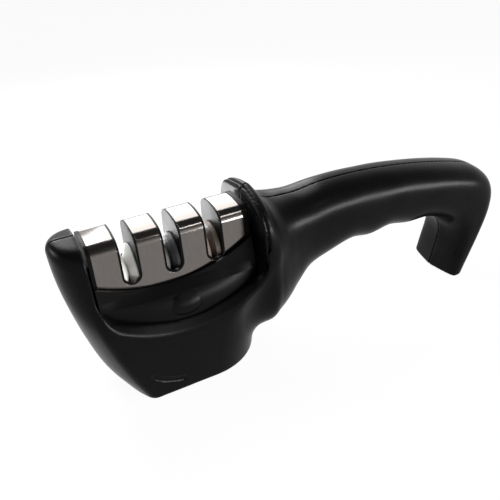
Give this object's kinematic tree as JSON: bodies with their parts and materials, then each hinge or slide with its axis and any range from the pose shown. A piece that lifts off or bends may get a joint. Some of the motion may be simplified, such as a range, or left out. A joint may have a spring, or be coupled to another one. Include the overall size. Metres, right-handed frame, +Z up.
{
  "type": "knife sharpener",
  "caption": "Black pull through knife sharpener with an arched grip and foot, and a lift-out cartridge of paired grinding wheels under a slotted steel cover.",
  "frame": {"origin": "on the table under the middle knife slot, in the parting plane of the two shells", "axes": "+X from the nose towards the grip, +Y towards the rear shell, +Z up"},
  "size_m": [0.2094, 0.0508, 0.0736],
  "materials": {
    "black_plastic": "satin moulded",
    "glossy_black": "polished",
    "cover_steel": "polished, faintly brushed",
    "axle_steel": "ground",
    "screw_steel": "zinc plated",
    "spring_steel": "drawn wire",
    "white_ceramic": "fine grit",
    "dark_grit": "diamond grit on steel",
    "coarse_grit": "coarse grit",
    "rubber_sole": "matte"
  },
  "bodies": {
    "body": {"front_shell": "black_plastic", "rear_shell": "black_plastic", "shell_screws": "screw_steel", "base_pad": "rubber_sole", "foot_pad": "rubber_sole"},
    "cartridge": {"cartridge_bottom": "glossy_black", "cartridge_frame": "glossy_black", "cartridge_screws": "screw_steel", "steel_cover": "cover_steel", "slot_core": "glossy_black", "fine_axle": "axle_steel", "medium_axle": "axle_steel", "coarse_axle": "axle_steel", "front_button_spring": "spring_steel", "rear_button_spring": "spring_steel"},
    "front_button": {"front_release_button": "glossy_black"},
    "rear_button": {"rear_release_button": "glossy_black"},
    "fine_left_wheel": {"fine_left_wheel": "white_ceramic"},
    "fine_right_wheel": {"fine_right_wheel": "white_ceramic"},
    "medium_left_wheel": {"medium_left_wheel": "dark_grit"},
    "medium_right_wheel": {"medium_right_wheel": "dark_grit"},
    "coarse_left_wheel": {"coarse_left_wheel": "coarse_grit"},
    "coarse_right_wheel": {"coarse_right_wheel": "coarse_grit"}
  },
  "joints": [
    {"name": "cartridge_lift", "type": "slide", "parent": "body", "child": "cartridge", "axis": [0, 0, 1], "range_m": [0, 0.045]},
    {"name": "front_button_press", "type": "slide", "parent": "cartridge", "child": "front_button", "axis": [0, 1, 0], "range_m": [0, 0.0016], "stiffness_N_per_m": 900, "springref_m": -0.0012, "deforming": ["front_button_spring"]},
    {"name": "rear_button_press", "type": "slide", "parent": "cartridge", "child": "rear_button", "axis": [0, -1, 0], "range_m": [0, 0.0016], "stiffness_N_per_m": 900, "springref_m": -0.0012, "deforming": ["rear_button_spring"]},
    {"name": "fine_left_spin", "type": "hinge", "parent": "cartridge", "child": "fine_left_wheel", "pos_m": [-0.019, 0, 0.05], "axis": [1, 0, 0], "continuous": true},
    {"name": "fine_right_spin", "type": "hinge", "parent": "cartridge", "child": "fine_right_wheel", "pos_m": [-0.016, 0, 0.05], "axis": [1, 0, 0], "continuous": true},
    {"name": "medium_left_spin", "type": "hinge", "parent": "cartridge", "child": "medium_left_wheel", "pos_m": [-0.0015, 0, 0.05], "axis": [1, 0, 0], "continuous": true},
    {"name": "medium_right_spin", "type": "hinge", "parent": "cartridge", "child": "medium_right_wheel", "pos_m": [0.0015, 0, 0.05], "axis": [1, 0, 0], "continuous": true},
    {"name": "coarse_left_spin", "type": "hinge", "parent": "cartridge", "child": "coarse_left_wheel", "pos_m": [0.016, 0, 0.05], "axis": [1, 0, 0], "continuous": true},
    {"name": "coarse_right_spin", "type": "hinge", "parent": "cartridge", "child": "coarse_right_wheel", "pos_m": [0.019, 0, 0.05], "axis": [1, 0, 0], "continuous": true}
  ]
}
